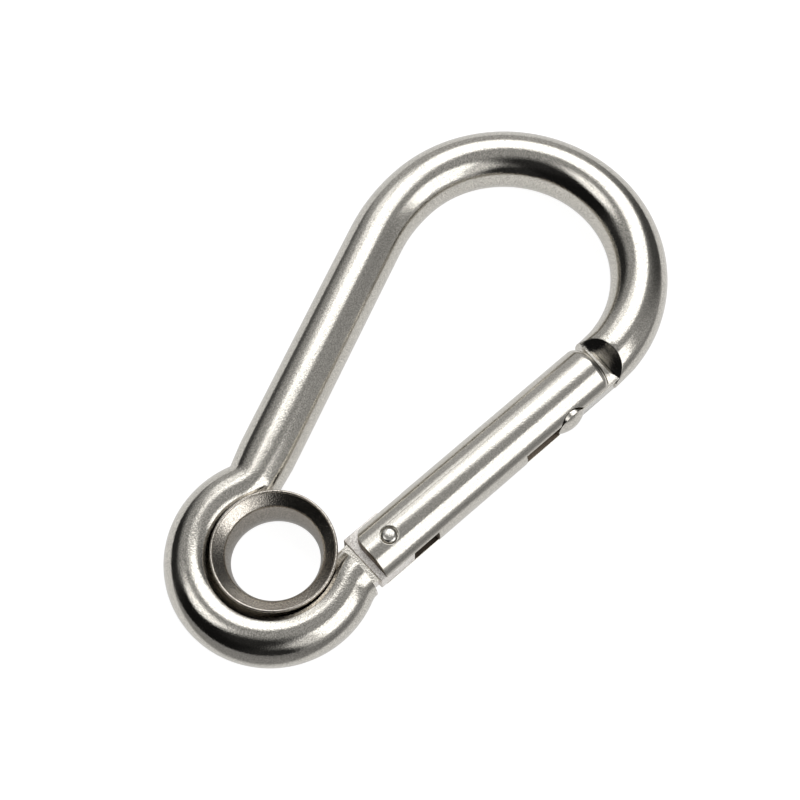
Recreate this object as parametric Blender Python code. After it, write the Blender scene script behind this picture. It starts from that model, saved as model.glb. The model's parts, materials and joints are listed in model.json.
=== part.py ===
"""Carbine hook with thimble eye and spring gate, 11 x 120 mm pattern, stainless steel.

The hook lies flat: X runs along it from the eye to the bow, Z is its thickness, and the
leg is on the +Y side with the gate on the -Y side.  The origin is under the middle of the
bounding box, on the surface that the hook lies on.  Blender 4.5, metres.
"""
import math

import bmesh
import bpy
from mathutils import Matrix, Vector

MM = 0.001

# ---- driving dimensions -------------------------------------------------------------
BAR_R = 5.35 * MM                # the bent bar and the gate have the same radius
BOW_MID_R = 24.8 * MM            # bow, to the middle of the bar
CENTRES = 70.6 * MM              # eye centre to bow centre
EYE_MID_R = 14.1 * MM            # eye, to the middle of the bar
EYE_HALF_WIDTH = 4.97 * MM       # the bar is pressed a little narrower round the eye
GATE_ANGLE = math.radians(-11.06)
LEG_ANGLE = math.radians(13.18)
LEG_OFFSET = 25.5 * MM           # bow centre to the leg's middle line
BLEND_R = 34.0 * MM              # easy bend between bow and leg
NOTCH_R = 5.35 * MM              # tight reverse bend between leg and eye
EYE_STOP = math.radians(285.0)   # where the eye stops following its circle
SHOULDER_TURN_R = 8.2 * MM       # and turns into line with the gate

GAP = 0.3 * MM                   # between pieces that touch
RUN_CLEAR = 0.08 * MM            # radial running clearance on the rivet

# Stations along the gate's axis, measured back from the nose joint towards the eye.
BAR_END = 1.1 * MM
GATE_NOSE = 1.8 * MM
KEYHOLE_AT = 11.85 * MM
BORE_END = 17.0 * MM
NOSE_SLOT_END = 23.2 * MM
TANG_SLOT_END = 44.5 * MM
TANG_FRONT = 50.1 * MM
PIVOT_AT = 52.0 * MM
GATE_TAIL = 56.7 * MM
TANG_BACK = 57.9 * MM
SHOULDER_AT = 59.8 * MM

PIVOT_DROP = 0.15 * MM           # the rivet sits a little outside the gate's axis
TANG_HALF_T = 1.90 * MM
SLOT_HALF_T = 2.02 * MM
TANG_IN = 5.25 * MM              # tang's edge towards the leg
TANG_OUT = 4.85 * MM             # tang's edge away from the leg
NECK_HALF_T = 1.45 * MM
TONGUE_HALF_T = 1.75 * MM
TONGUE_IN = -0.6 * MM
TONGUE_OUT = 5.0 * MM
NUB_R = 3.15 * MM
NUB_IN = 0.9 * MM
NUB_OUT = 5.95 * MM
NUB_DOME = 1.0 * MM
KEYHOLE_R = 3.45 * MM
NOSE_SLOT_IN = 0.3 * MM
BORE_R = 2.9 * MM
RAMP_R = 8.3 * MM                # hollow ramps from the bar down to its thin end
RAMP_BACK = 5.4 * MM
RAMP_UP = 9.2 * MM
RAMP_LEAN = math.radians(10.8)

RIVET_R = 1.10 * MM
RIVET_HEAD_R = 1.50 * MM
RIVET_HEAD_RISE = 0.80 * MM
RECESS_R = 1.70 * MM
RECESS_FLOOR = 4.50 * MM

THROAT_R = 7.9 * MM
THIMBLE_WAIST_R = 8.45 * MM
THIMBLE_CLEAR = 0.32 * MM
RIM_R = 11.1 * MM
RIM_FLAT = 0.55 * MM

PIN_R = 1.70 * MM
COLLAR_R = 2.70 * MM
COLLAR_LEN = 1.4 * MM
PIN_TAIL_R = 1.30 * MM
PIN_TAIL_LEN = 6.0 * MM
COLLAR_BACK = 3.2 * MM           # collar sits this far inside the bore's mouth
SPRING_WIRE_R = 0.35 * MM
SPRING_MID_R = 2.20 * MM
SPRING_TURNS = 11

RING_SIDES = 24
ARC_STEP = math.radians(8.5)

# ---- points that follow from them ---------------------------------------------------
EYE_LEFT = EYE_MID_R + EYE_HALF_WIDTH
RIM_TOP = BAR_R + 0.48 * MM
MID_Z = RIM_TOP
SHIFT = Vector((-(CENTRES + BOW_MID_R + BAR_R - EYE_LEFT) / 2, 0, MID_Z))
BOW = Vector((CENTRES, 0, 0))
THIMBLE_OFFSET = Vector((0.45, -0.40, 0)) * MM    # it sits a little towards the tang
GATE_DIR = Vector((math.cos(GATE_ANGLE), math.sin(GATE_ANGLE), 0))
GATE_IN = Vector((-math.sin(GATE_ANGLE), math.cos(GATE_ANGLE), 0))
NOSE_JOINT = BOW - BOW_MID_R * GATE_IN


def gate_point(back, inward=0.0, up=0.0):
    """A point given along the gate's axis, towards the leg, and up."""
    return NOSE_JOINT - back * GATE_DIR + inward * GATE_IN + Vector((0, 0, up)) + SHIFT


def direction(angle):
    return Vector((math.cos(angle), math.sin(angle), 0))


# ---- materials and mesh helpers -----------------------------------------------------
def steel(name, colour, roughness):
    material = bpy.data.materials.new(name)
    material.use_nodes = True
    shader = material.node_tree.nodes["Principled BSDF"]
    shader.inputs["Base Color"].default_value = (*colour, 1)
    shader.inputs["Metallic"].default_value = 1.0
    shader.inputs["Roughness"].default_value = roughness
    return material


def add_object(name, bm, material=None, origin=None):
    """Makes an object from a bmesh whose points are in world space."""
    bmesh.ops.recalc_face_normals(bm, faces=bm.faces)
    mesh = bpy.data.meshes.new(name)
    origin = origin or Vector((0, 0, 0))
    bm.transform(Matrix.Translation(-origin))
    bm.to_mesh(mesh)
    bm.free()
    obj = bpy.data.objects.new(name, mesh)
    obj.location = origin
    bpy.context.scene.collection.objects.link(obj)
    if material:
        mesh.materials.append(material)
        mesh.shade_smooth()
        mesh.set_sharp_from_angle(angle=math.radians(35))
    return obj


def skin_rings(rings, closed=False):
    """Joins rings of points into a tube, with a flat face over each end."""
    bm = bmesh.new()
    rows = [[bm.verts.new(p) for p in ring] for ring in rings]
    pairs = list(zip(rows, rows[1:]))
    if closed:
        pairs.append((rows[-1], rows[0]))
    for a, b in pairs:
        count = len(a)
        for i in range(count):
            j = (i + 1) % count
            bm.faces.new((a[i], a[j], b[j], b[i]))
    if not closed:
        bm.faces.new(rows[0])
        bm.faces.new(rows[-1])
    return bm


def turned(profile, start, axis, side, sides=32):
    """A turned solid: profile is (distance along axis, radius) from end to end."""
    third = axis.cross(side)
    turns = [2 * math.pi * i / sides for i in range(sides)]
    return skin_rings([[start + d * axis + r * (math.cos(t) * side + math.sin(t) * third)
                        for t in turns] for d, r in profile])


def block(back_lo, back_hi, in_lo, in_hi, up_lo, up_hi):
    """A box in the gate's own directions."""
    rings = [[gate_point(back, inward, up) for inward, up in
              ((in_lo, up_lo), (in_hi, up_lo), (in_hi, up_hi), (in_lo, up_hi))]
             for back in (back_lo, back_hi)]
    return skin_rings(rings)


def apply_boolean(obj, bm, operation):
    """Cuts or adds a shape; the tool is applied at once and removed."""
    tool = add_object("tool", bm)
    modifier = obj.modifiers.new(operation.lower(), "BOOLEAN")
    modifier.operation = operation
    modifier.solver = "EXACT"
    modifier.object = tool
    graph = bpy.context.evaluated_depsgraph_get()
    result = bpy.data.meshes.new_from_object(obj.evaluated_get(graph))
    obj.modifiers.remove(modifier)
    old = obj.data
    obj.data = result
    bpy.data.meshes.remove(old)
    bpy.data.objects.remove(tool)


def soften(obj, width, angle=40, segments=2):
    """A small Bevel on the sharp edges."""
    modifier = obj.modifiers.new("edges", "BEVEL")
    modifier.width = width
    modifier.segments = segments
    modifier.limit_method = "ANGLE"
    modifier.angle_limit = math.radians(angle)


# ---- the bent bar -------------------------------------------------------------------
def arc(centre, radius, start, stop):
    """Points and headings along an arc; it turns left when stop is past start."""
    steps = max(2, round(abs(stop - start) / ARC_STEP))
    turn = math.copysign(math.pi / 2, stop - start)
    for i in range(steps + 1):
        a = start + (stop - start) * i / steps
        yield centre + radius * direction(a), a + turn


def bar_stations():
    """The bar's middle line from the nose to the eye's shoulder."""
    leg_in = direction(LEG_ANGLE + math.pi / 2)
    leg_down = -direction(LEG_ANGLE)
    flat = BLEND_R - LEG_OFFSET
    run = math.sqrt((BLEND_R - BOW_MID_R) ** 2 - flat ** 2)
    blend_centre = BOW - flat * leg_in + run * leg_down
    blend_start = LEG_ANGLE + math.pi / 2 - math.atan2(run, flat)
    stations = [(NOSE_JOINT - BAR_END * GATE_DIR, GATE_ANGLE)]
    stations += list(arc(BOW, BOW_MID_R, GATE_ANGLE - math.pi / 2, blend_start))
    stations += list(arc(blend_centre, BLEND_R, blend_start, LEG_ANGLE + math.pi / 2))[1:]

    eye_side = BOW.dot(leg_in) + LEG_OFFSET + NOTCH_R
    along = math.sqrt((EYE_MID_R + NOTCH_R) ** 2 - eye_side ** 2)
    notch_centre = eye_side * leg_in - along * leg_down
    eye_start = math.atan2(notch_centre.y, notch_centre.x)
    leg_end = LEG_ANGLE - math.pi / 2
    notch = list(arc(notch_centre, NOTCH_R, leg_end, eye_start - math.pi))
    leg_top = stations[-1][0]
    leg_foot = notch[0][0]
    heading = stations[-1][1]
    stations += [(leg_top.lerp(leg_foot, f), heading) for f in (0.25, 0.5, 0.75)]
    stations += notch
    stations += list(arc(Vector((0, 0, 0)), EYE_MID_R, eye_start, EYE_STOP))[1:]

    last = stations[-1][0]
    turn_centre = last + SHOULDER_TURN_R * direction(EYE_STOP)
    stations += list(arc(turn_centre, SHOULDER_TURN_R, EYE_STOP - math.pi,
                         GATE_ANGLE + math.pi / 2))[1:]
    return stations


def bar_rings():
    stations = bar_stations()
    rings = []
    turns = [2 * math.pi * i / RING_SIDES for i in range(RING_SIDES)]
    for centre, heading in stations:
        distance = centre.length
        near_eye = min(1.0, max(0.0, (1.45 * EYE_MID_R - distance) / (0.4 * EYE_MID_R)))
        half_width = BAR_R + (EYE_HALF_WIDTH - BAR_R) * near_eye
        side = direction(heading - math.pi / 2)
        rings.append([centre + half_width * math.cos(t) * side
                      + Vector((0, 0, BAR_R * math.sin(t))) + SHIFT for t in turns])
    rings += shoulder_rings(rings[-1], stations[-1])
    return rings


def shoulder_rings(last_ring, last_station):
    """Rounds the bar's end over, up to the shoulder behind the tang."""
    centre = last_station[0] + SHIFT
    reach = (gate_point(SHOULDER_AT) - centre).dot(GATE_DIR)
    rings = []
    for share in (0.35, 0.65, 0.85, 1.0):
        fall = 1 - 0.38 * (1 - math.sqrt(1 - share ** 2))
        rings.append([centre + (p - centre) * fall + share * reach * GATE_DIR for p in last_ring])
    return rings


def make_hook_body(material):
    body = add_object("hook_body", skin_rings(bar_rings()), material)
    neck_in = TANG_IN - 0.9 * MM
    neck_out = TANG_OUT - 0.7 * MM
    neck = block(SHOULDER_AT + 2.5 * MM, TANG_BACK - 0.5 * MM, -neck_out, neck_in,
                 -NECK_HALF_T, NECK_HALF_T)
    apply_boolean(body, neck, "UNION")
    tang = block(TANG_BACK, TANG_FRONT, -TANG_OUT, TANG_IN, -TANG_HALF_T, TANG_HALF_T)
    apply_boolean(body, tang, "UNION")
    hole = turned([(0, RIVET_R + RUN_CLEAR), (2 * BAR_R, RIVET_R + RUN_CLEAR)],
                  gate_point(PIVOT_AT, -PIVOT_DROP, -BAR_R), Vector((0, 0, 1)), GATE_DIR)
    apply_boolean(body, hole, "DIFFERENCE")
    for sign in (-1, 1):
        lean = math.cos(RAMP_LEAN) * GATE_IN + sign * math.sin(RAMP_LEAN) * Vector((0, 0, 1))
        start = gate_point(RAMP_BACK, 0, sign * RAMP_UP) - 2 * BAR_R * lean
        ramp = turned([(0, RAMP_R), (4 * BAR_R, RAMP_R)], start, lean, GATE_DIR, sides=64)
        apply_boolean(body, ramp, "DIFFERENCE")
    tongue = block(-1.0 * MM, KEYHOLE_AT, -TONGUE_OUT, TONGUE_IN, -TONGUE_HALF_T, TONGUE_HALF_T)
    apply_boolean(body, tongue, "UNION")
    profile = [(0, NUB_R)]
    for share in (1.0, 0.75, 0.5, 0.2):
        profile.append((NUB_OUT - NUB_IN - NUB_DOME * share ** 2, NUB_R * share))
    nub = turned(profile, gate_point(KEYHOLE_AT, -NUB_IN), -GATE_IN, GATE_DIR)
    apply_boolean(body, nub, "UNION")
    return body


# ---- thimble ------------------------------------------------------------------------
def make_thimble(material):
    """An hourglass ring that follows the bar's inner side and flares over it."""
    out_w = EYE_MID_R - THIMBLE_WAIST_R
    out_h = BAR_R + THIMBLE_CLEAR
    in_w = EYE_MID_R - THROAT_R
    rim_mid = RIM_R - RIM_FLAT
    in_top = RIM_TOP / math.sqrt(1 - ((EYE_MID_R - rim_mid) / in_w) ** 2)
    steps = 5
    under = out_h * math.sqrt(1 - ((EYE_MID_R - RIM_R) / out_w) ** 2)

    def flare(height, half_w, half_h):
        return EYE_MID_R - half_w * math.sqrt(1 - (height / half_h) ** 2)

    heights_in = [RIM_TOP * math.sin(math.pi / 2 * i / steps) for i in range(-steps, steps + 1)]
    heights_out = [under * math.sin(math.pi / 2 * i / steps) for i in range(-steps, steps + 1)]
    inner = [(h, flare(h, in_w, in_top)) for h in heights_in]
    outer = [(h, flare(h, out_w, out_h)) for h in heights_out]
    section = inner + [(RIM_TOP, RIM_R)] + outer[::-1] + [(-RIM_TOP, RIM_R)]
    sides = 40
    rings = []
    for i in range(sides):
        spoke = direction(2 * math.pi * i / sides)
        rings.append([spoke * r + Vector((0, 0, h)) + THIMBLE_OFFSET + SHIFT for h, r in section])
    return add_object("eye_thimble", skin_rings(rings, closed=True), material)


# ---- gate ---------------------------------------------------------------------------
def make_gate(material, pivot):
    nose_round = 1.8 * MM
    tail_edge = 0.25 * MM
    steps = 4
    length = GATE_TAIL - GATE_NOSE
    profile = [(0, BAR_R - tail_edge), (tail_edge, BAR_R), (length - nose_round, BAR_R)]
    for i in range(1, steps + 1):
        a = math.pi / 2 * i / steps
        profile.append((length - nose_round * (1 - math.sin(a)), BAR_R - nose_round * (1 - math.cos(a))))
    gate = add_object("gate", turned(profile, gate_point(GATE_TAIL), GATE_DIR, GATE_IN, 40),
                      material, pivot)
    past = 2 * MM
    wide = BAR_R + past
    cuts = [
        block(TANG_SLOT_END, GATE_TAIL + past, -wide, wide, -SLOT_HALF_T, SLOT_HALF_T),
        block(-past, NOSE_SLOT_END, -wide, NOSE_SLOT_IN, -SLOT_HALF_T, SLOT_HALF_T),
        turned([(0, KEYHOLE_R), (wide + NOSE_SLOT_IN, KEYHOLE_R)],
               gate_point(KEYHOLE_AT, NOSE_SLOT_IN), -GATE_IN, GATE_DIR),
        turned([(0, BORE_R), (TANG_SLOT_END + past - BORE_END, BORE_R)],
               gate_point(TANG_SLOT_END + past), GATE_DIR, GATE_IN),
        turned([(0, RIVET_R + RUN_CLEAR), (4 * BAR_R, RIVET_R + RUN_CLEAR)],
               pivot - Vector((0, 0, 2 * BAR_R)), Vector((0, 0, 1)), GATE_DIR),
    ]
    for sign in (-1, 1):
        cuts.append(turned([(0, RECESS_R), (BAR_R, RECESS_R)], pivot + Vector((0, 0, sign * RECESS_FLOOR)),
                           Vector((0, 0, sign)), GATE_DIR))
    cuts.append(tail_corner())
    for cut in cuts:
        apply_boolean(gate, cut, "DIFFERENCE")
    return gate


def tail_corner():
    """Rounds the cheeks' corner that swings past the eye."""
    corner_r = 4.0 * MM
    far = 2 * BAR_R
    edge = BAR_R + 0.05 * MM
    centre_back = GATE_TAIL - corner_r
    centre_in = edge - corner_r
    steps = 8
    outline = []
    for i in range(steps + 1):
        a = math.pi / 2 * i / steps
        outline.append((centre_back + corner_r * math.sin(a), centre_in + corner_r * math.cos(a)))
    outline += [(GATE_TAIL, centre_in - MM), (GATE_TAIL + far, centre_in - MM),
                (GATE_TAIL + far, far), (centre_back, far)]
    return skin_rings([[gate_point(back, inward, up) for back, inward in outline] for up in (-far, far)])


# ---- rivet, plunger and spring ------------------------------------------------------
def make_rivet(material, pivot):
    seat = RECESS_FLOOR + 0.05 * MM
    head = [(seat, RIVET_R), (seat, RIVET_HEAD_R), (seat + 0.3 * RIVET_HEAD_RISE, 0.98 * RIVET_HEAD_R),
            (seat + 0.7 * RIVET_HEAD_RISE, 0.75 * RIVET_HEAD_R), (seat + RIVET_HEAD_RISE, 0.3 * RIVET_HEAD_R)]
    profile = [(-d, r) for d, r in reversed(head)] + head
    return add_object("hinge_rivet", turned(profile, pivot, Vector((0, 0, 1)), GATE_DIR), material, pivot)


def make_plunger(material):
    tip = TANG_FRONT - GAP
    collar = TANG_SLOT_END - COLLAR_BACK
    edge = 0.3 * MM
    start = gate_point(tip)
    profile = [(0, PIN_R - edge), (edge, PIN_R), (tip - collar, PIN_R), (tip - collar, COLLAR_R),
               (tip - collar + COLLAR_LEN, COLLAR_R), (tip - collar + COLLAR_LEN, PIN_TAIL_R),
               (tip - collar + COLLAR_LEN + PIN_TAIL_LEN, PIN_TAIL_R)]
    return add_object("spring_plunger", turned(profile, start, GATE_DIR, GATE_IN, 24), material, start)


def make_spring(material):
    """A helix swept as rings, with closed end turns."""
    near = TANG_SLOT_END - COLLAR_BACK - COLLAR_LEN - SPRING_WIRE_R - GAP
    far = BORE_END + SPRING_WIRE_R + GAP
    steps = 12
    wire_sides = 5
    end_share = 1.0 / SPRING_TURNS
    pitch_room = near - far - 4.4 * SPRING_WIRE_R
    rings = []
    for i in range(SPRING_TURNS * steps + 1):
        share = i / (SPRING_TURNS * steps)
        middle = min(1.0, max(0.0, (share - end_share) / (1 - 2 * end_share)))
        closing = min(share, end_share) / end_share + max(0.0, share - 1 + end_share) / end_share
        back = near - pitch_room * middle - 2.2 * SPRING_WIRE_R * closing
        angle = 2 * math.pi * SPRING_TURNS * share
        spoke = math.cos(angle) * GATE_IN + math.sin(angle) * Vector((0, 0, 1))
        centre = gate_point(back) + SPRING_MID_R * spoke
        rings.append([centre + SPRING_WIRE_R * (math.cos(2 * math.pi * k / wire_sides) * spoke
                                                + math.sin(2 * math.pi * k / wire_sides) * GATE_DIR)
                      for k in range(wire_sides)])
    return add_object("gate_spring", skin_rings(rings), material)


def main():
    for obj in list(bpy.data.objects):
        bpy.data.objects.remove(obj)
    polished = steel("polished_stainless", (0.72, 0.71, 0.69), 0.12)
    pressed = steel("pressed_stainless", (0.66, 0.65, 0.62), 0.22)
    rivet_steel = steel("rivet_stainless", (0.70, 0.69, 0.67), 0.18)
    spring_steel = steel("spring_stainless", (0.45, 0.44, 0.42), 0.30)
    pivot = gate_point(PIVOT_AT, -PIVOT_DROP)
    body = make_hook_body(polished)
    soften(body, 0.3 * MM)
    make_thimble(pressed)
    gate = make_gate(polished.copy(), pivot)
    rivet = make_rivet(rivet_steel, pivot)
    plunger = make_plunger(rivet_steel.copy())
    spring = make_spring(spring_steel)
    bpy.context.view_layer.update()
    for child, parent in ((rivet, body), (gate, body), (plunger, gate), (spring, gate)):
        child.parent = parent
        child.matrix_parent_inverse = parent.matrix_world.inverted()


main()
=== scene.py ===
"""Looks for the carbine hook: fine steel surfaces, studio and camera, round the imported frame."""
import json
import math

import bmesh
import bpy
from mathutils import Matrix, Vector


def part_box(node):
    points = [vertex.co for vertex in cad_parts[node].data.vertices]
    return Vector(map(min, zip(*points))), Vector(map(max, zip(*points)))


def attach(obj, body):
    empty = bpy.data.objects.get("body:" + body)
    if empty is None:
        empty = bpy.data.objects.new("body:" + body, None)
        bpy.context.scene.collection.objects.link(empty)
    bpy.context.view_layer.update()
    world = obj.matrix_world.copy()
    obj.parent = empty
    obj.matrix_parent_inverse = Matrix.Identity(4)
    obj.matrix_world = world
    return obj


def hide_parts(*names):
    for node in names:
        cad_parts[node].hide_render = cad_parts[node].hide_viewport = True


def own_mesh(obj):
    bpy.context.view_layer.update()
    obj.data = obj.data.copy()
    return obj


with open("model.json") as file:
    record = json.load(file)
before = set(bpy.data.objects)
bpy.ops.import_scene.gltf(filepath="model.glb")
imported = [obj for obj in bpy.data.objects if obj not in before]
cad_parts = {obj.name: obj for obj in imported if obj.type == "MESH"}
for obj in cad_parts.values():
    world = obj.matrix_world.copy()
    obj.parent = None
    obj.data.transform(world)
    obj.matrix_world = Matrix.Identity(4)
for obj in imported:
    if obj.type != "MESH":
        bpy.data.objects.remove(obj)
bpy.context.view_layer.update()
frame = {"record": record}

MM = 0.001
UP = Vector((0, 0, 1))

# ---- places read from the frame -----------------------------------------------------
JOINTS = {j["name"]: j for j in frame["record"]["behaviour"]["joints"]}
PIVOT = Vector(JOINTS["gate_hinge"]["pos_m"])
GATE_DIR = Vector(JOINTS["plunger_slide"]["axis"]).normalized()
GATE_IN = UP.cross(GATE_DIR)
GATE_ANGLE = math.atan2(GATE_DIR.y, GATE_DIR.x)
BODY_LO, BODY_HI = (Vector(c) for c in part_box("hook_body"))
THIMBLE_LO, THIMBLE_HI = (Vector(c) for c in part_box("eye_thimble"))
THIMBLE = (THIMBLE_LO + THIMBLE_HI) / 2
THIMBLE_OFFSET = Vector((0.45, -0.40, 0)) * MM
EYE = THIMBLE - THIMBLE_OFFSET
BAR_R = (BODY_HI.z - BODY_LO.z) / 2
RIM_TOP = (THIMBLE_HI.z - THIMBLE_LO.z) / 2

# ---- sizes of the fine surfaces, as in the design ------------------------------------
BOW_MID_R = 24.8 * MM
CENTRES = 70.6 * MM
EYE_MID_R = 14.1 * MM
EYE_HALF_WIDTH = 4.97 * MM
LEG_ANGLE = math.radians(13.18)
LEG_OFFSET = 25.5 * MM
BLEND_R = 34.0 * MM
NOTCH_R = 5.35 * MM
EYE_STOP = math.radians(285.0)
SHOULDER_TURN_R = 8.2 * MM
BAR_END = 1.1 * MM
GATE_NOSE = 1.8 * MM
GATE_NOSE_ROUND = 1.8 * MM
KEYHOLE_AT = 11.85 * MM
BORE_END = 17.0 * MM
NOSE_SLOT_END = 23.2 * MM
TANG_SLOT_END = 44.5 * MM
TANG_FRONT = 50.1 * MM
GATE_TAIL = 56.7 * MM
TANG_BACK = 57.9 * MM
SHOULDER_AT = 59.8 * MM
TANG_HALF_T = 1.90 * MM
SLOT_HALF_T = 2.02 * MM
TANG_IN = 5.25 * MM
TANG_OUT = 4.85 * MM
NECK_HALF_T = 1.45 * MM
TONGUE_HALF_T = 1.75 * MM
TONGUE_IN = -0.6 * MM
TONGUE_OUT = 5.0 * MM
NUB_R = 3.15 * MM
NUB_IN = 0.9 * MM
NUB_OUT = 5.95 * MM
NUB_DOME = 1.0 * MM
KEYHOLE_R = 3.45 * MM
NOSE_SLOT_IN = 0.3 * MM
BORE_R = 2.9 * MM
RAMP_R = 8.3 * MM
RAMP_BACK = 5.4 * MM
RAMP_UP = 9.2 * MM
RAMP_LEAN = math.radians(10.8)
RIVET_HEAD_R = 1.50 * MM
RIVET_R = 1.10 * MM
RIVET_HOLE_R = 1.18 * MM
RECESS_R = 1.70 * MM
RECESS_FLOOR = 4.50 * MM
THROAT_R = 7.9 * MM
THIMBLE_WAIST_R = 8.45 * MM
THIMBLE_CLEAR = 0.32 * MM
RIM_R = 11.1 * MM
RIM_IN_R = 10.55 * MM
LIP_R = 0.26 * MM
COLLAR_BACK = 3.2 * MM
COLLAR_LEN = 1.4 * MM
SPRING_WIRE_R = 0.35 * MM
SPRING_MID_R = 2.20 * MM
SPRING_TURNS = 11
GAP = 0.3 * MM
PLATE_EDGE = 0.12 * MM

BOW = EYE + Vector((CENTRES, 0, 0))
NOSE_JOINT = BOW - BOW_MID_R * GATE_IN
BAR_SIDES = 96
FINE_STEP = math.radians(2.5)
SMOOTH_ANGLE = math.radians(35)


def gate_point(back, inward=0.0, up=0.0):
    """A point given along the gate's axis, towards the leg, and up."""
    return NOSE_JOINT - back * GATE_DIR + inward * GATE_IN + up * UP


def direction(angle):
    return Vector((math.cos(angle), math.sin(angle), 0))


# ---- mesh helpers -------------------------------------------------------------------
def add_piece(name, bm, material=None):
    """Makes the mesh an object, with its finish if a material is given."""
    bmesh.ops.recalc_face_normals(bm, faces=bm.faces)
    mesh = bpy.data.meshes.new(name)
    bm.to_mesh(mesh)
    bm.free()
    obj = bpy.data.objects.new(name, mesh)
    bpy.context.scene.collection.objects.link(obj)
    if material:
        finish_piece(obj, material)
    return obj


def finish_piece(obj, material):
    """Gives the piece its material, and shades as one the faces that meet at a low angle."""
    obj.data.materials.clear()
    obj.data.materials.append(material)
    obj.data.shade_smooth()
    obj.data.set_sharp_from_angle(angle=SMOOTH_ANGLE)


def skin_rings(rings, closed=False):
    """A skin over rings of points, its ends capped unless the last ring joins the first."""
    bm = bmesh.new()
    rows = [[bm.verts.new(p) for p in ring] for ring in rings]
    pairs = list(zip(rows, rows[1:]))
    if closed:
        pairs.append((rows[-1], rows[0]))
    for a, b in pairs:
        count = len(a)
        for i in range(count):
            j = (i + 1) % count
            bm.faces.new((a[i], a[j], b[j], b[i]))
    if not closed:
        bm.faces.new(rows[0])
        bm.faces.new(rows[-1])
    return bm


def turned(profile, start, axis, side, sides=64, first=0.0):
    """A turned solid from pairs of distance along the axis and radius."""
    third = axis.cross(side)
    turns = [2 * math.pi * (i + first) / sides for i in range(sides)]
    return skin_rings([[start + d * axis + r * (math.cos(t) * side + math.sin(t) * third)
                        for t in turns] for d, r in profile])


def block(back_lo, back_hi, in_lo, in_hi, up_lo, up_hi, edge=0.0):
    """A box in the gate's own directions, its edges rounded."""
    rings = [[gate_point(back, inward, up) for inward, up in
              ((in_lo, up_lo), (in_hi, up_lo), (in_hi, up_hi), (in_lo, up_hi))]
             for back in (back_lo, back_hi)]
    bm = skin_rings(rings)
    if edge:
        bmesh.ops.bevel(bm, geom=bm.edges[:], offset=edge, segments=3, profile=0.5,
                        affect="EDGES")
    return bm


def boolean(obj, bm, operation):
    tool = add_piece("tool", bm)
    modifier = obj.modifiers.new("cut", "BOOLEAN")
    modifier.operation = operation
    modifier.solver = "EXACT"
    modifier.object = tool
    bake(obj)
    bpy.data.objects.remove(tool)


def bake(obj):
    """Applies the object's modifiers to its mesh."""
    graph = bpy.context.evaluated_depsgraph_get()
    result = bpy.data.meshes.new_from_object(obj.evaluated_get(graph))
    obj.modifiers.clear()
    old = obj.data
    obj.data = result
    bpy.data.meshes.remove(old)


def round_edges(obj, width, chosen, angle, segments=3):
    """Bevels the sharp convex edges whose middle the chosen test accepts."""
    bm = bmesh.new()
    bm.from_mesh(obj.data)
    bmesh.ops.remove_doubles(bm, verts=bm.verts, dist=0.004 * MM)
    limit = math.radians(angle)
    edges = []
    for e in bm.edges:
        if len(e.link_faces) != 2 or not e.is_convex:
            continue
        if e.calc_face_angle() > limit and chosen((e.verts[0].co + e.verts[1].co) / 2):
            edges.append(e)
    bmesh.ops.bevel(bm, geom=edges, offset=width, segments=segments, profile=0.5,
                    affect="EDGES", clamp_overlap=False)
    bm.to_mesh(obj.data)
    bm.free()


# ---- the bent bar -------------------------------------------------------------------
def arc(centre, radius, start, stop):
    """Points on an arc, in steps of about FINE_STEP, each with the heading along it."""
    steps = max(2, round(abs(stop - start) / FINE_STEP))
    turn = math.copysign(math.pi / 2, stop - start)
    for i in range(steps + 1):
        a = start + (stop - start) * i / steps
        yield centre + radius * direction(a), a + turn


def bar_stations():
    """Points along the bar's middle with the heading at each, from the nose to the shoulder."""
    leg_in = direction(LEG_ANGLE + math.pi / 2)
    leg_down = -direction(LEG_ANGLE)
    bow = Vector((CENTRES, 0, 0))
    flat = BLEND_R - LEG_OFFSET
    run = math.sqrt((BLEND_R - BOW_MID_R) ** 2 - flat ** 2)
    blend_centre = bow - flat * leg_in + run * leg_down
    blend_start = LEG_ANGLE + math.pi / 2 - math.atan2(run, flat)
    first = 3.2 * MM / BOW_MID_R
    nose_angle = GATE_ANGLE - math.pi / 2
    nose = bow + BOW_MID_R * direction(nose_angle)
    stations = [(nose - BAR_END * GATE_DIR, GATE_ANGLE), (nose, GATE_ANGLE)]
    stations += list(arc(bow, BOW_MID_R, nose_angle + first, blend_start))
    stations += list(arc(blend_centre, BLEND_R, blend_start, LEG_ANGLE + math.pi / 2))[1:]

    eye_side = bow.dot(leg_in) + LEG_OFFSET + NOTCH_R
    along = math.sqrt((EYE_MID_R + NOTCH_R) ** 2 - eye_side ** 2)
    notch_centre = eye_side * leg_in - along * leg_down
    eye_start = math.atan2(notch_centre.y, notch_centre.x)
    leg_end = LEG_ANGLE - math.pi / 2
    notch = list(arc(notch_centre, NOTCH_R, leg_end, eye_start - math.pi))
    leg_top = stations[-1][0]
    heading = stations[-1][1]
    stations += [(leg_top.lerp(notch[0][0], i / 12), heading) for i in range(1, 12)]
    stations += notch
    stations += list(arc(Vector((0, 0, 0)), EYE_MID_R, eye_start, EYE_STOP))[1:]
    last = stations[-1][0]
    turn_centre = last + SHOULDER_TURN_R * direction(EYE_STOP)
    stations += list(arc(turn_centre, SHOULDER_TURN_R, EYE_STOP - math.pi,
                         GATE_ANGLE + math.pi / 2))[1:]
    return [(p + EYE, heading) for p, heading in stations]


def ease(x):
    x = min(1.0, max(0.0, x))
    return x * x * (3 - 2 * x)


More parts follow.
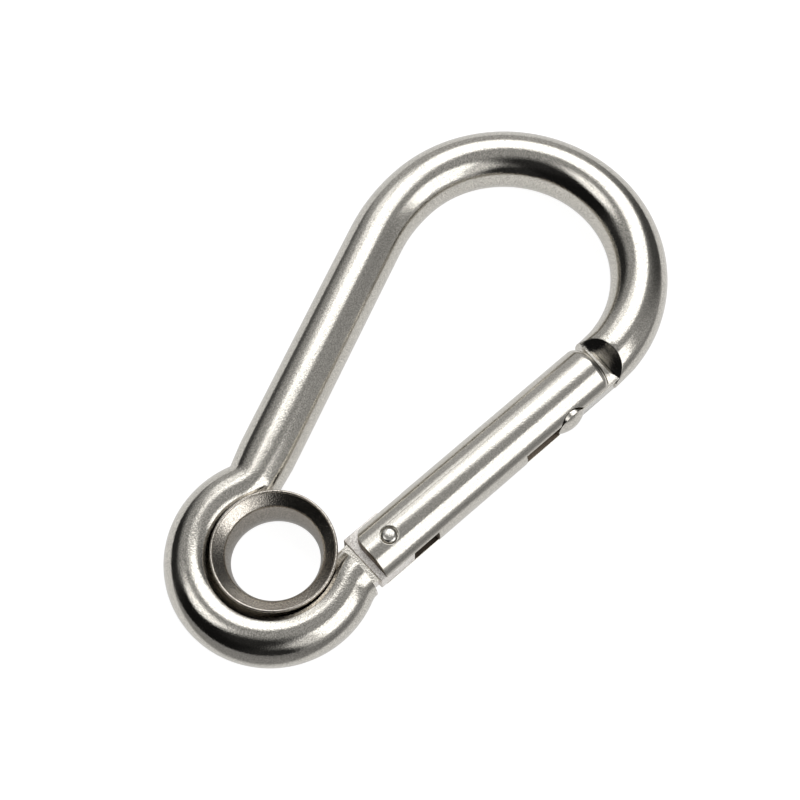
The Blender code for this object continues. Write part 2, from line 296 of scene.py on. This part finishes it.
def bar_rings():
    """The bar's cross-sections: narrower at the eye, and domed where the shoulder ends."""
    stations = bar_stations()
    turns = [2 * math.pi * (i + 0.5) / BAR_SIDES for i in range(BAR_SIDES)]
    rings = []
    for centre, heading in stations:
        near_eye = ease((1.45 * EYE_MID_R - (centre - EYE).length) / (0.4 * EYE_MID_R))
        half_width = BAR_R + (EYE_HALF_WIDTH - BAR_R) * near_eye
        side = direction(heading - math.pi / 2)
        rings.append([centre + half_width * math.cos(t) * side + BAR_R * math.sin(t) * UP
                      for t in turns])
    centre = stations[-1][0]
    reach = (gate_point(SHOULDER_AT) - centre).dot(GATE_DIR)
    last_ring = rings[-1]
    for i in range(1, 13):
        a = math.pi / 2 * i / 12
        fall = 1 - 0.38 * (1 - math.cos(a))
        rings.append([centre + (p - centre) * fall + math.sin(a) * reach * GATE_DIR
                      for p in last_ring])
    return rings


def make_body(polished, milled):
    """The bent bar with its nose ramps, tongue, nub, neck and tang."""
    body = add_piece("bent_bar", skin_rings(bar_rings()))
    for sign in (-1, 1):
        lean = math.cos(RAMP_LEAN) * GATE_IN + sign * math.sin(RAMP_LEAN) * UP
        start = gate_point(RAMP_BACK, 0, sign * RAMP_UP) - 2 * BAR_R * lean
        ramp = turned([(0, RAMP_R), (4 * BAR_R, RAMP_R)], start, lean, GATE_DIR, sides=200)
        boolean(body, ramp, "DIFFERENCE")
    neck = block(SHOULDER_AT + 2.5 * MM, TANG_BACK - 0.5 * MM, -(TANG_OUT - 0.7 * MM),
                 TANG_IN - 0.9 * MM, -NECK_HALF_T, NECK_HALF_T)
    boolean(body, neck, "UNION")
    tang = block(TANG_BACK, TANG_FRONT, -TANG_OUT, TANG_IN, -TANG_HALF_T, TANG_HALF_T,
                 PLATE_EDGE)
    boolean(body, tang, "UNION")
    hole = turned([(0, RIVET_HOLE_R), (2 * BAR_R, RIVET_HOLE_R)], PIVOT - BAR_R * UP, UP, GATE_DIR)
    boolean(body, hole, "DIFFERENCE")
    tongue = block(-1.0 * MM, KEYHOLE_AT, -TONGUE_OUT, TONGUE_IN, -TONGUE_HALF_T, TONGUE_HALF_T,
                   PLATE_EDGE)
    boolean(body, tongue, "UNION")
    profile = [(0, NUB_R)]
    for i in range(14):
        share = 1 - (i / 14) ** 1.5
        profile.append((NUB_OUT - NUB_IN - NUB_DOME * share ** 2, NUB_R * share))
    nub = turned(profile, gate_point(KEYHOLE_AT, -NUB_IN), -GATE_IN, GATE_DIR, sides=96)
    boolean(body, nub, "UNION")

    def off_axis(p):
        off = p - gate_point(0)
        back = -off.dot(GATE_DIR)
        return back, (off + back * GATE_DIR).length

    def on_rim(p):
        """True on the ramps' rims, where they meet the bar's round skin."""
        back, radius = off_axis(p)
        return -4 * MM < back < 1.2 * MM and radius > 0.9 * BAR_R

    round_edges(body, 0.15 * MM, on_rim, angle=25)
    finish_piece(body, polished)
    body.data.materials.append(milled)
    for face in body.data.polygons:
        back, radius = off_axis(face.center)
        height = abs((face.center - EYE).dot(UP))
        tang = TANG_FRONT - MM < back < TANG_BACK + 0.05 * MM
        neck = TANG_BACK < back < SHOULDER_AT and height < 1.1 * NECK_HALF_T
        if (tang or neck) and radius < 7.5 * MM:
            face.material_index = 1
    return body


# ---- thimble ------------------------------------------------------------------------
def thimble_outside():
    """Heights and radii of the outer face, which follows the bar's oval with some clearance."""
    half_w = EYE_MID_R - THIMBLE_WAIST_R
    half_h = BAR_R + THIMBLE_CLEAR
    top = half_h * math.sqrt(1 - ((EYE_MID_R - RIM_R) / half_w) ** 2)
    steps = 22
    heights = [top * math.sin(math.pi / 2 * i / steps) for i in range(-steps, steps + 1)]
    return [(h, EYE_MID_R - half_w * math.sqrt(1 - (h / half_h) ** 2)) for h in heights]


def thimble_inside():
    """Heights and radii of the inner face: a waisted throat, a bend, and a cone to each rim."""
    throat_end = 3.9 * MM
    swell = 0.6 * MM
    throat = [(h * MM, THROAT_R + swell * (h * MM / throat_end) ** 2)
              for h in (0, 0.8, 1.6, 2.3, 2.9, 3.4, 3.7)]
    bend = [(throat_end, THROAT_R + 0.62 * MM), (4.05 * MM, THROAT_R + 0.69 * MM),
            (4.2 * MM, THROAT_R + 0.80 * MM)]
    low_h, low_r = 4.35 * MM, THROAT_R + 0.96 * MM
    top_h, top_r = RIM_TOP - LIP_R, RIM_IN_R
    cone = [(low_h + (top_h - low_h) * i / 6, low_r + (top_r - low_r) * i / 6) for i in range(7)]
    half = throat + bend + cone
    return [(-h, r) for h, r in reversed(half[1:])] + half


def make_thimble(material):
    mid_r = (RIM_IN_R + RIM_R) / 2
    half = (RIM_R - RIM_IN_R) / 2
    lip = []
    for i in range(1, 8):
        a = math.pi * i / 8
        lip.append((RIM_TOP - LIP_R + LIP_R * math.sin(a), mid_r - half * math.cos(a)))
    lip.append((RIM_TOP - 1.6 * LIP_R, RIM_R))
    section = thimble_inside() + lip + thimble_outside()[::-1] + [(-h, r) for h, r in reversed(lip)]
    sides = 160
    rings = []
    for i in range(sides):
        spoke = direction(2 * math.pi * i / sides)
        rings.append([THIMBLE + spoke * r + h * UP for h, r in section])
    return add_piece("thimble", skin_rings(rings, closed=True), material)


# ---- gate ---------------------------------------------------------------------------
def tail_corner():
    """What is cut off the gate to round the inner corner of its tail."""
    corner_r = 4.0 * MM
    far = 2 * BAR_R
    edge = BAR_R + 0.05 * MM
    steps = 20
    outline = []
    for i in range(steps + 1):
        a = math.pi / 2 * i / steps
        outline.append((GATE_TAIL - corner_r + corner_r * math.sin(a),
                        edge - corner_r + corner_r * math.cos(a)))
    low = edge - corner_r - MM
    outline += [(GATE_TAIL, low), (GATE_TAIL + far, low), (GATE_TAIL + far, far),
                (GATE_TAIL - corner_r, far)]
    return skin_rings([[gate_point(back, inward, up) for back, inward in outline]
                       for up in (-far, far)])


def make_gate(polished, inside):
    """The gate's round bar with its slots, key-hole, bore and rivet recesses; its slot and bore
    walls get a dark steel as painted shade.
    """
    length = GATE_TAIL - GATE_NOSE
    profile = [(0, BAR_R), (length - GATE_NOSE_ROUND, BAR_R)]
    for i in range(1, 17):
        a = math.pi / 2 * i / 16
        profile.append((length - GATE_NOSE_ROUND * (1 - math.sin(a)),
                        BAR_R - GATE_NOSE_ROUND * (1 - math.cos(a))))
    gate = add_piece("gate_bar", turned(profile, gate_point(GATE_TAIL), GATE_DIR, GATE_IN,
                                        BAR_SIDES, first=0.5))
    past = 2 * MM
    wide = BAR_R + past
    cuts = [
        block(TANG_SLOT_END, GATE_TAIL + past, -wide, wide, -SLOT_HALF_T, SLOT_HALF_T),
        block(-past, NOSE_SLOT_END, -wide, NOSE_SLOT_IN, -SLOT_HALF_T, SLOT_HALF_T),
        turned([(0, KEYHOLE_R), (wide + NOSE_SLOT_IN, KEYHOLE_R)],
               gate_point(KEYHOLE_AT, NOSE_SLOT_IN), -GATE_IN, GATE_DIR),
        turned([(0, BORE_R), (TANG_SLOT_END + past - BORE_END, BORE_R)],
               gate_point(TANG_SLOT_END + past), GATE_DIR, GATE_IN),
        turned([(0, RIVET_HOLE_R), (4 * BAR_R, RIVET_HOLE_R)],
               PIVOT - 2 * BAR_R * UP, UP, GATE_DIR),
    ]
    for sign in (-1, 1):
        cuts.append(turned([(0, RECESS_R), (BAR_R, RECESS_R)],
                           PIVOT + sign * RECESS_FLOOR * UP, sign * UP, GATE_DIR))
    cuts.append(tail_corner())
    for cut in cuts:
        boolean(gate, cut, "DIFFERENCE")

    def off_axis(p):
        off = p - gate_point(0)
        return off - off.dot(GATE_DIR) * GATE_DIR

    round_edges(gate, 0.10 * MM, lambda p: off_axis(p).length > 0.93 * BAR_R, angle=28, segments=2)
    finish_piece(gate, polished)
    # The second material, a dark steel, is painted shade on the slot and bore walls.
    gate.data.materials.append(inside)
    mesh = gate.data
    normals = [Vector(n.vector) for n in mesh.corner_normals]

    def on_skin(face):
        out = off_axis(face.center)
        return abs(out.length - BAR_R) < 0.02 * MM and face.normal.dot(out.normalized()) > 0.998

    def in_slot_or_bore(face):
        """True on the inner walls that get the painted shade, not on the nose's dome or in a
        rivet's recess.
        """
        if off_axis(face.center).length >= 0.9 * BAR_R:
            return False
        if abs(face.normal.dot(UP)) >= 0.99:
            return abs((face.center - EYE).dot(UP)) < 1.2 * SLOT_HALF_T
        past_dome = (gate_point(GATE_NOSE) - face.center).dot(GATE_DIR) > 2.2 * MM
        to_pivot = face.center - PIVOT
        return past_dome and (to_pivot - to_pivot.dot(UP) * UP).length > 1.1 * RECESS_R

    for face in mesh.polygons:
        if on_skin(face):
            for loop, v in zip(face.loop_indices, face.vertices):
                normals[loop] = off_axis(mesh.vertices[v].co).normalized()
        elif in_slot_or_bore(face):
            face.material_index = 1
    mesh.normals_split_custom_set([tuple(n) for n in normals])
    return gate


# ---- rivet, plunger, spring ---------------------------------------------------------
def make_rivet(material):
    seat = RECESS_FLOOR + 0.05 * MM
    rise = 0.80 * MM
    head = [(seat, RIVET_R)]
    for i in range(13):
        a = math.pi / 2 * i / 12
        head.append((seat + rise * math.sin(a) ** 0.8,
                     RIVET_HEAD_R * max(0.04, math.cos(a)) ** 0.6))
    profile = [(-d, r) for d, r in reversed(head)] + head
    return add_piece("rivet", turned(profile, PIVOT, UP, GATE_DIR), material)


def make_plunger(material):
    tip = TANG_FRONT - GAP
    collar = tip - (TANG_SLOT_END - COLLAR_BACK)
    pin_r = 1.70 * MM
    collar_r = 2.70 * MM
    tail_r = 1.30 * MM
    edge = 0.3 * MM
    tail = collar + COLLAR_LEN
    end = tail + 6.0 * MM
    profile = [(0, pin_r - edge), (0.3 * edge, pin_r - 0.3 * edge), (edge, pin_r),
               (collar, pin_r), (collar, collar_r - edge / 2), (collar + edge / 2, collar_r),
               (tail - edge / 2, collar_r), (tail, collar_r - edge / 2),
               (tail, tail_r), (end - edge, tail_r), (end, tail_r - edge)]
    return add_piece("push_pin", turned(profile, gate_point(tip), GATE_DIR, GATE_IN, 48), material)


def make_spring(material):
    """The coil, its last turn at each end closed up, and the point that its far end rests on."""
    near = TANG_SLOT_END - COLLAR_BACK - COLLAR_LEN - SPRING_WIRE_R - GAP
    far = BORE_END + SPRING_WIRE_R + GAP
    closed_pitch = 2.2 * SPRING_WIRE_R
    steps = 36
    wire_sides = 14
    end_share = 1.0 / SPRING_TURNS
    pitch_room = near - far - 2 * closed_pitch
    rings = []
    for i in range(SPRING_TURNS * steps + 1):
        share = i / (SPRING_TURNS * steps)
        middle = min(1.0, max(0.0, (share - end_share) / (1 - 2 * end_share)))
        closing = min(share, end_share) / end_share
        closing += max(0.0, share - 1 + end_share) / end_share
        back = near - pitch_room * middle - closed_pitch * closing
        angle = 2 * math.pi * SPRING_TURNS * share
        spoke = math.cos(angle) * GATE_IN + math.sin(angle) * UP
        centre = gate_point(back) + SPRING_MID_R * spoke
        turns = [2 * math.pi * k / wire_sides for k in range(wire_sides)]
        rings.append([centre + SPRING_WIRE_R * (math.cos(t) * spoke + math.sin(t) * GATE_DIR)
                      for t in turns])
    return add_piece("coil", skin_rings(rings), material), gate_point(far)


# ---- steel --------------------------------------------------------------------------
STAIN_SIZE = 2.5 * MM
STAINED = 0.93
SPECKLE_SIZE = 0.19 * MM
PATCH_SIZE = 1.2 * MM
RIPPLE_SIZE = 2.2 * MM
GRAIN_SIZE = 0.24 * MM


def steel(name, colour, roughness, ripple=0.006, grain=0.015, speckle=0.28):
    """Grainy steel: ripple and grain are bump heights in mm, speckle is a share of the colour."""
    material = bpy.data.materials.new(name)
    material.use_nodes = True
    nodes = material.node_tree.nodes
    links = material.node_tree.links
    shader = nodes["Principled BSDF"]
    shader.inputs["Metallic"].default_value = 1.0
    place = nodes.new("ShaderNodeTexCoord")

    def noise(size, detail):
        node = nodes.new("ShaderNodeTexNoise")
        node.inputs["Scale"].default_value = 1 / size
        node.inputs["Detail"].default_value = detail
        links.new(place.outputs["Object"], node.inputs["Vector"])
        return node.outputs["Fac"]

    def spread(value, middle, half, span=0.2):
        """Stretches a noise's usual reach, 0.5 either way by span, to middle either way by half."""
        node = nodes.new("ShaderNodeMapRange")
        node.inputs["From Min"].default_value = 0.5 - span
        node.inputs["From Max"].default_value = 0.5 + span
        node.inputs["To Min"].default_value = middle - half
        node.inputs["To Max"].default_value = middle + half
        links.new(value, node.inputs["Value"])
        return node.outputs["Result"]

    def bump(height, depth, before=None):
        node = nodes.new("ShaderNodeBump")
        node.inputs["Strength"].default_value = 1.0
        node.inputs["Distance"].default_value = depth
        links.new(height, node.inputs["Height"])
        if before:
            links.new(before, node.inputs["Normal"])
        return node.outputs["Normal"]

    stain = nodes.new("ShaderNodeMix")
    stain.data_type = "RGBA"
    stain.inputs["A"].default_value = (*[STAINED * c for c in colour], 1)
    stain.inputs["B"].default_value = (*colour, 1)
    links.new(noise(STAIN_SIZE, 3), stain.inputs["Factor"])
    speckled = nodes.new("ShaderNodeVectorMath")
    speckled.operation = "SCALE"
    links.new(stain.outputs["Result"], speckled.inputs["Vector"])
    links.new(spread(noise(SPECKLE_SIZE, 1), 1, speckle, 0.15), speckled.inputs["Scale"])
    links.new(speckled.outputs["Vector"], shader.inputs["Base Color"])
    links.new(spread(noise(PATCH_SIZE, 5), roughness, 0.3 * roughness), shader.inputs["Roughness"])
    normal = bump(noise(RIPPLE_SIZE, 2), ripple * MM)
    normal = bump(noise(GRAIN_SIZE, 2), grain * MM, normal)
    links.new(normal, shader.inputs["Normal"])
    return material


# ---- studio -------------------------------------------------------------------------
SCREEN_RIGHT = math.radians(-53)


def studio_direction(turn, tilt):
    """A direction in the studio: turned from the camera's right, tilted from straight up."""
    a = math.radians(turn) + SCREEN_RIGHT
    t = math.radians(tilt)
    return Vector((math.sin(t) * math.cos(a), math.sin(t) * math.sin(a), math.cos(t)))


class Studio:
    """A world of soft panels painted over one another, light ones and dark ones."""

    def __init__(self, colour):
        self.world = bpy.data.worlds.new("studio")
        self.world.use_nodes = True
        self.nodes = self.world.node_tree.nodes
        self.links = self.world.node_tree.links
        self.place = self.nodes.new("ShaderNodeTexCoord").outputs["Generated"]
        start = self.nodes.new("ShaderNodeRGB")
        start.outputs[0].default_value = (*colour, 1)
        self.colour = start.outputs[0]

    def math(self, operation, *values):
        node = self.nodes.new("ShaderNodeMath")
        node.operation = operation
        for socket, value in zip(node.inputs, values):
            if isinstance(value, (int, float)):
                socket.default_value = value
            else:
                self.links.new(value, socket)
        return node.outputs[0]

    def along(self, axis):
        node = self.nodes.new("ShaderNodeVectorMath")
        node.operation = "DOT_PRODUCT"
        self.links.new(self.place, node.inputs[0])
        node.inputs[1].default_value = axis
        return node.outputs["Value"]

    def panel(self, turn, tilt, width, height, colour, roll=0, soft=0.2, corner=2):
        """One panel, its half width and half height in degrees seen from the hook."""
        facing = studio_direction(turn, tilt)
        outward = studio_direction(turn, tilt + 90)
        across = facing.cross(outward)
        r = math.radians(roll)
        side = math.cos(r) * outward + math.sin(r) * across
        other = math.cos(r) * across - math.sin(r) * outward
        total = None
        for axis, half in ((side, width), (other, height)):
            reach = math.sin(math.radians(half))
            term = self.math("POWER", self.math("ABSOLUTE", self.math(
                "DIVIDE", self.along(axis), reach)), corner)
            total = term if total is None else self.math("ADD", total, term)
        size = self.math("POWER", total, 1 / corner)
        edge = self.nodes.new("ShaderNodeMapRange")
        edge.interpolation_type = "SMOOTHSTEP"
        edge.inputs["From Min"].default_value = 1 + soft
        edge.inputs["From Max"].default_value = 1 - soft
        edge.inputs["To Min"].default_value = 0
        edge.inputs["To Max"].default_value = 1
        self.links.new(size, edge.inputs["Value"])
        front = self.math("GREATER_THAN", self.along(facing), 0.0)
        mask = self.math("MULTIPLY", edge.outputs["Result"], front)
        mix = self.nodes.new("ShaderNodeMix")
        mix.data_type = "RGBA"
        self.links.new(mask, mix.inputs["Factor"])
        self.links.new(self.colour, mix.inputs["A"])
        mix.inputs["B"].default_value = (*colour, 1)
        self.colour = mix.outputs["Result"]

    def finish(self):
        """Lights the scene with the panels; what the camera sees past the floor is plain white."""
        path = self.nodes.new("ShaderNodeLightPath")
        seen = self.nodes.new("ShaderNodeMix")
        seen.data_type = "RGBA"
        self.links.new(path.outputs["Is Camera Ray"], seen.inputs["Factor"])
        self.links.new(self.colour, seen.inputs["A"])
        seen.inputs["B"].default_value = (*grey(1.0), 1)
        self.links.new(seen.outputs["Result"], self.nodes["Background"].inputs["Color"])
        bpy.context.scene.world = self.world


def grey(level):
    return (level, level, level)


def make_studio():
    studio = Studio(grey(0.42))
    studio.panel(95, 75, 40, 28, grey(0.52), soft=0.6)
    studio.panel(220, 68, 39, 44, grey(0.01), soft=0.2)
    studio.panel(270, 80, 20, 22, grey(0.03), soft=0.4)
    studio.panel(136, 88, 14, 12, grey(0.2), soft=0.5)
    studio.panel(160, 78, 24, 26, grey(0.03), soft=0.4)
    studio.panel(255, 38, 19, 20, grey(0.03), soft=0.6)
    studio.panel(35, 76, 30, 24, grey(0.08), soft=0.6)
    studio.panel(311, 56, 21, 23, grey(0.9), soft=0.3)
    studio.panel(329, 55, 22, 18, grey(2.1), roll=-6, soft=0.16, corner=6)
    studio.panel(78, 37, 19, 20, grey(2.3), soft=0.22, corner=4)
    studio.panel(115, 47, 12, 6, grey(1.4), soft=0.45, corner=3)
    studio.panel(188, 31, 14, 12, grey(1.7), soft=0.45)
    studio.finish()
    bpy.context.scene.view_settings.view_transform = "Standard"


def make_floor():
    """White paper. The steel sees it dimmer than the camera does, with painted shade off to two
    sides and a painted shadow round the thimble's throat.
    """
    bm = bmesh.new()
    bmesh.ops.create_grid(bm, x_segments=2, y_segments=2, size=3.0)
    floor = add_piece("floor", bm)
    material = bpy.data.materials.new("paper")
    material.use_nodes = True
    nodes = material.node_tree.nodes
    links = material.node_tree.links
    shader = nodes["Principled BSDF"]
    shader.inputs["Base Color"].default_value = (*grey(0.35), 1)
    shader.inputs["Roughness"].default_value = 1.0
    shader.inputs["Specular IOR Level"].default_value = 0.0
    shader.inputs["Emission Color"].default_value = (*grey(1), 1)
    position = nodes.new("ShaderNodeNewGeometry").outputs["Position"]

    def measure(operation, vector):
        node = nodes.new("ShaderNodeVectorMath")
        node.operation = operation
        node.inputs[1].default_value = vector
        links.new(position, node.inputs[0])
        return node.outputs["Value"]

    def fade(distance, start, stop, at_start, at_stop, kind="SMOOTHSTEP"):
        node = nodes.new("ShaderNodeMapRange")
        node.interpolation_type = kind
        node.inputs["From Min"].default_value = start
        node.inputs["From Max"].default_value = stop
        node.inputs["To Min"].default_value = at_start
        node.inputs["To Max"].default_value = at_stop
        links.new(distance, node.inputs["Value"])
        return node.outputs["Result"]

    def product(first, second):
        node = nodes.new("ShaderNodeMath")
        node.operation = "MULTIPLY"
        links.new(first, node.inputs[0])
        if isinstance(second, float):
            node.inputs[1].default_value = second
        else:
            links.new(second, node.inputs[1])
        return node.outputs[0]

    def dark_beyond(axis, start, stop):
        return fade(measure("DOT_PRODUCT", axis), start.dot(axis), stop.dot(axis), 1.0, 0.1)

    # Painted shade on the floor beyond the gate and beyond the eye, which the camera doesn't see.
    eye_side = studio_direction(262, 90)
    beyond_gate = dark_beyond(-GATE_IN, gate_point(0, -18 * MM), gate_point(0, -34 * MM))
    beyond_eye = dark_beyond(eye_side, EYE + 22 * MM * eye_side, EYE + 28 * MM * eye_side)
    # Painted shadow on the floor round the thimble's throat, which the camera doesn't see.
    from_thimble = measure("DISTANCE", (THIMBLE.x, THIMBLE.y, 0))
    throat_shadow = fade(from_thimble, 7.5 * MM, 10 * MM, 0.4, 1.0, "LINEAR")
    reflected = product(product(product(beyond_gate, beyond_eye), throat_shadow), 0.62)
    seen = nodes.new("ShaderNodeMix")
    links.new(nodes.new("ShaderNodeLightPath").outputs["Is Camera Ray"], seen.inputs["Factor"])
    links.new(reflected, seen.inputs["A"])
    seen.inputs["B"].default_value = 0.90
    links.new(seen.outputs["Result"], shader.inputs["Emission Strength"])
    floor.data.materials.append(material)


def make_camera():
    """Looks down at the hook, tilted from straight above towards the picture's lower edge."""
    target = EYE + Vector((37.90 * MM, 0.54 * MM, 0))
    up_on_floor = direction(SCREEN_RIGHT + math.pi / 2)
    tilt = math.radians(22.8)
    back = -math.sin(tilt) * up_on_floor + math.cos(tilt) * UP
    up = math.cos(tilt) * up_on_floor + math.sin(tilt) * UP
    distance = 313.5 * MM
    camera_data = bpy.data.cameras.new("camera")
    camera_data.sensor_width = 36
    camera_data.lens = 77.4
    camera = bpy.data.objects.new("camera", camera_data)
    turn = Matrix((up.cross(back), up, back)).transposed().to_4x4()
    camera.matrix_world = Matrix.Translation(target + distance * back) @ turn
    bpy.context.scene.collection.objects.link(camera)
    bpy.context.scene.camera = camera


make_studio()
make_camera()
make_floor()

milled_steel = steel("milled_tang", (0.85, 0.81, 0.77), 0.45, ripple=0.01, grain=0.03)
# A dark steel as painted shade on the gate's slot and bore walls.
slot_shade_steel = steel("painted_shade_inside", (0.20, 0.165, 0.13), 0.5)
body = make_body(steel("polished_bar", (0.59, 0.565, 0.515), 0.09), milled_steel)
thimble = make_thimble(steel("pressed_thimble", (0.55, 0.51, 0.455), 0.14, grain=0.04,
                             speckle=0.35))
gate = make_gate(steel("polished_gate", (0.60, 0.575, 0.525), 0.09, speckle=0.18), slot_shade_steel)
rivet = make_rivet(steel("rivet_head", (0.58, 0.56, 0.52), 0.13))
plunger = make_plunger(steel("push_pin_steel", (0.55, 0.54, 0.52), 0.3))
spring, spring_seat = make_spring(steel("spring_wire", (0.45, 0.44, 0.42), 0.3))

for piece, node, body_name, slot_name in (
        (body, "hook_body", "hook", "body_steel"),
        (thimble, "eye_thimble", "hook", "thimble_steel"),
        (rivet, "hinge_rivet", "hook", "rivet_steel"),
        (gate, "gate", "gate_body", "gate_steel"),
        (spring, "gate_spring", "gate_body", "spring_steel"),
        (plunger, "spring_plunger", "plunger", "plunger_steel")):
    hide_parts(node)
    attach(piece, body_name)
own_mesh(spring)
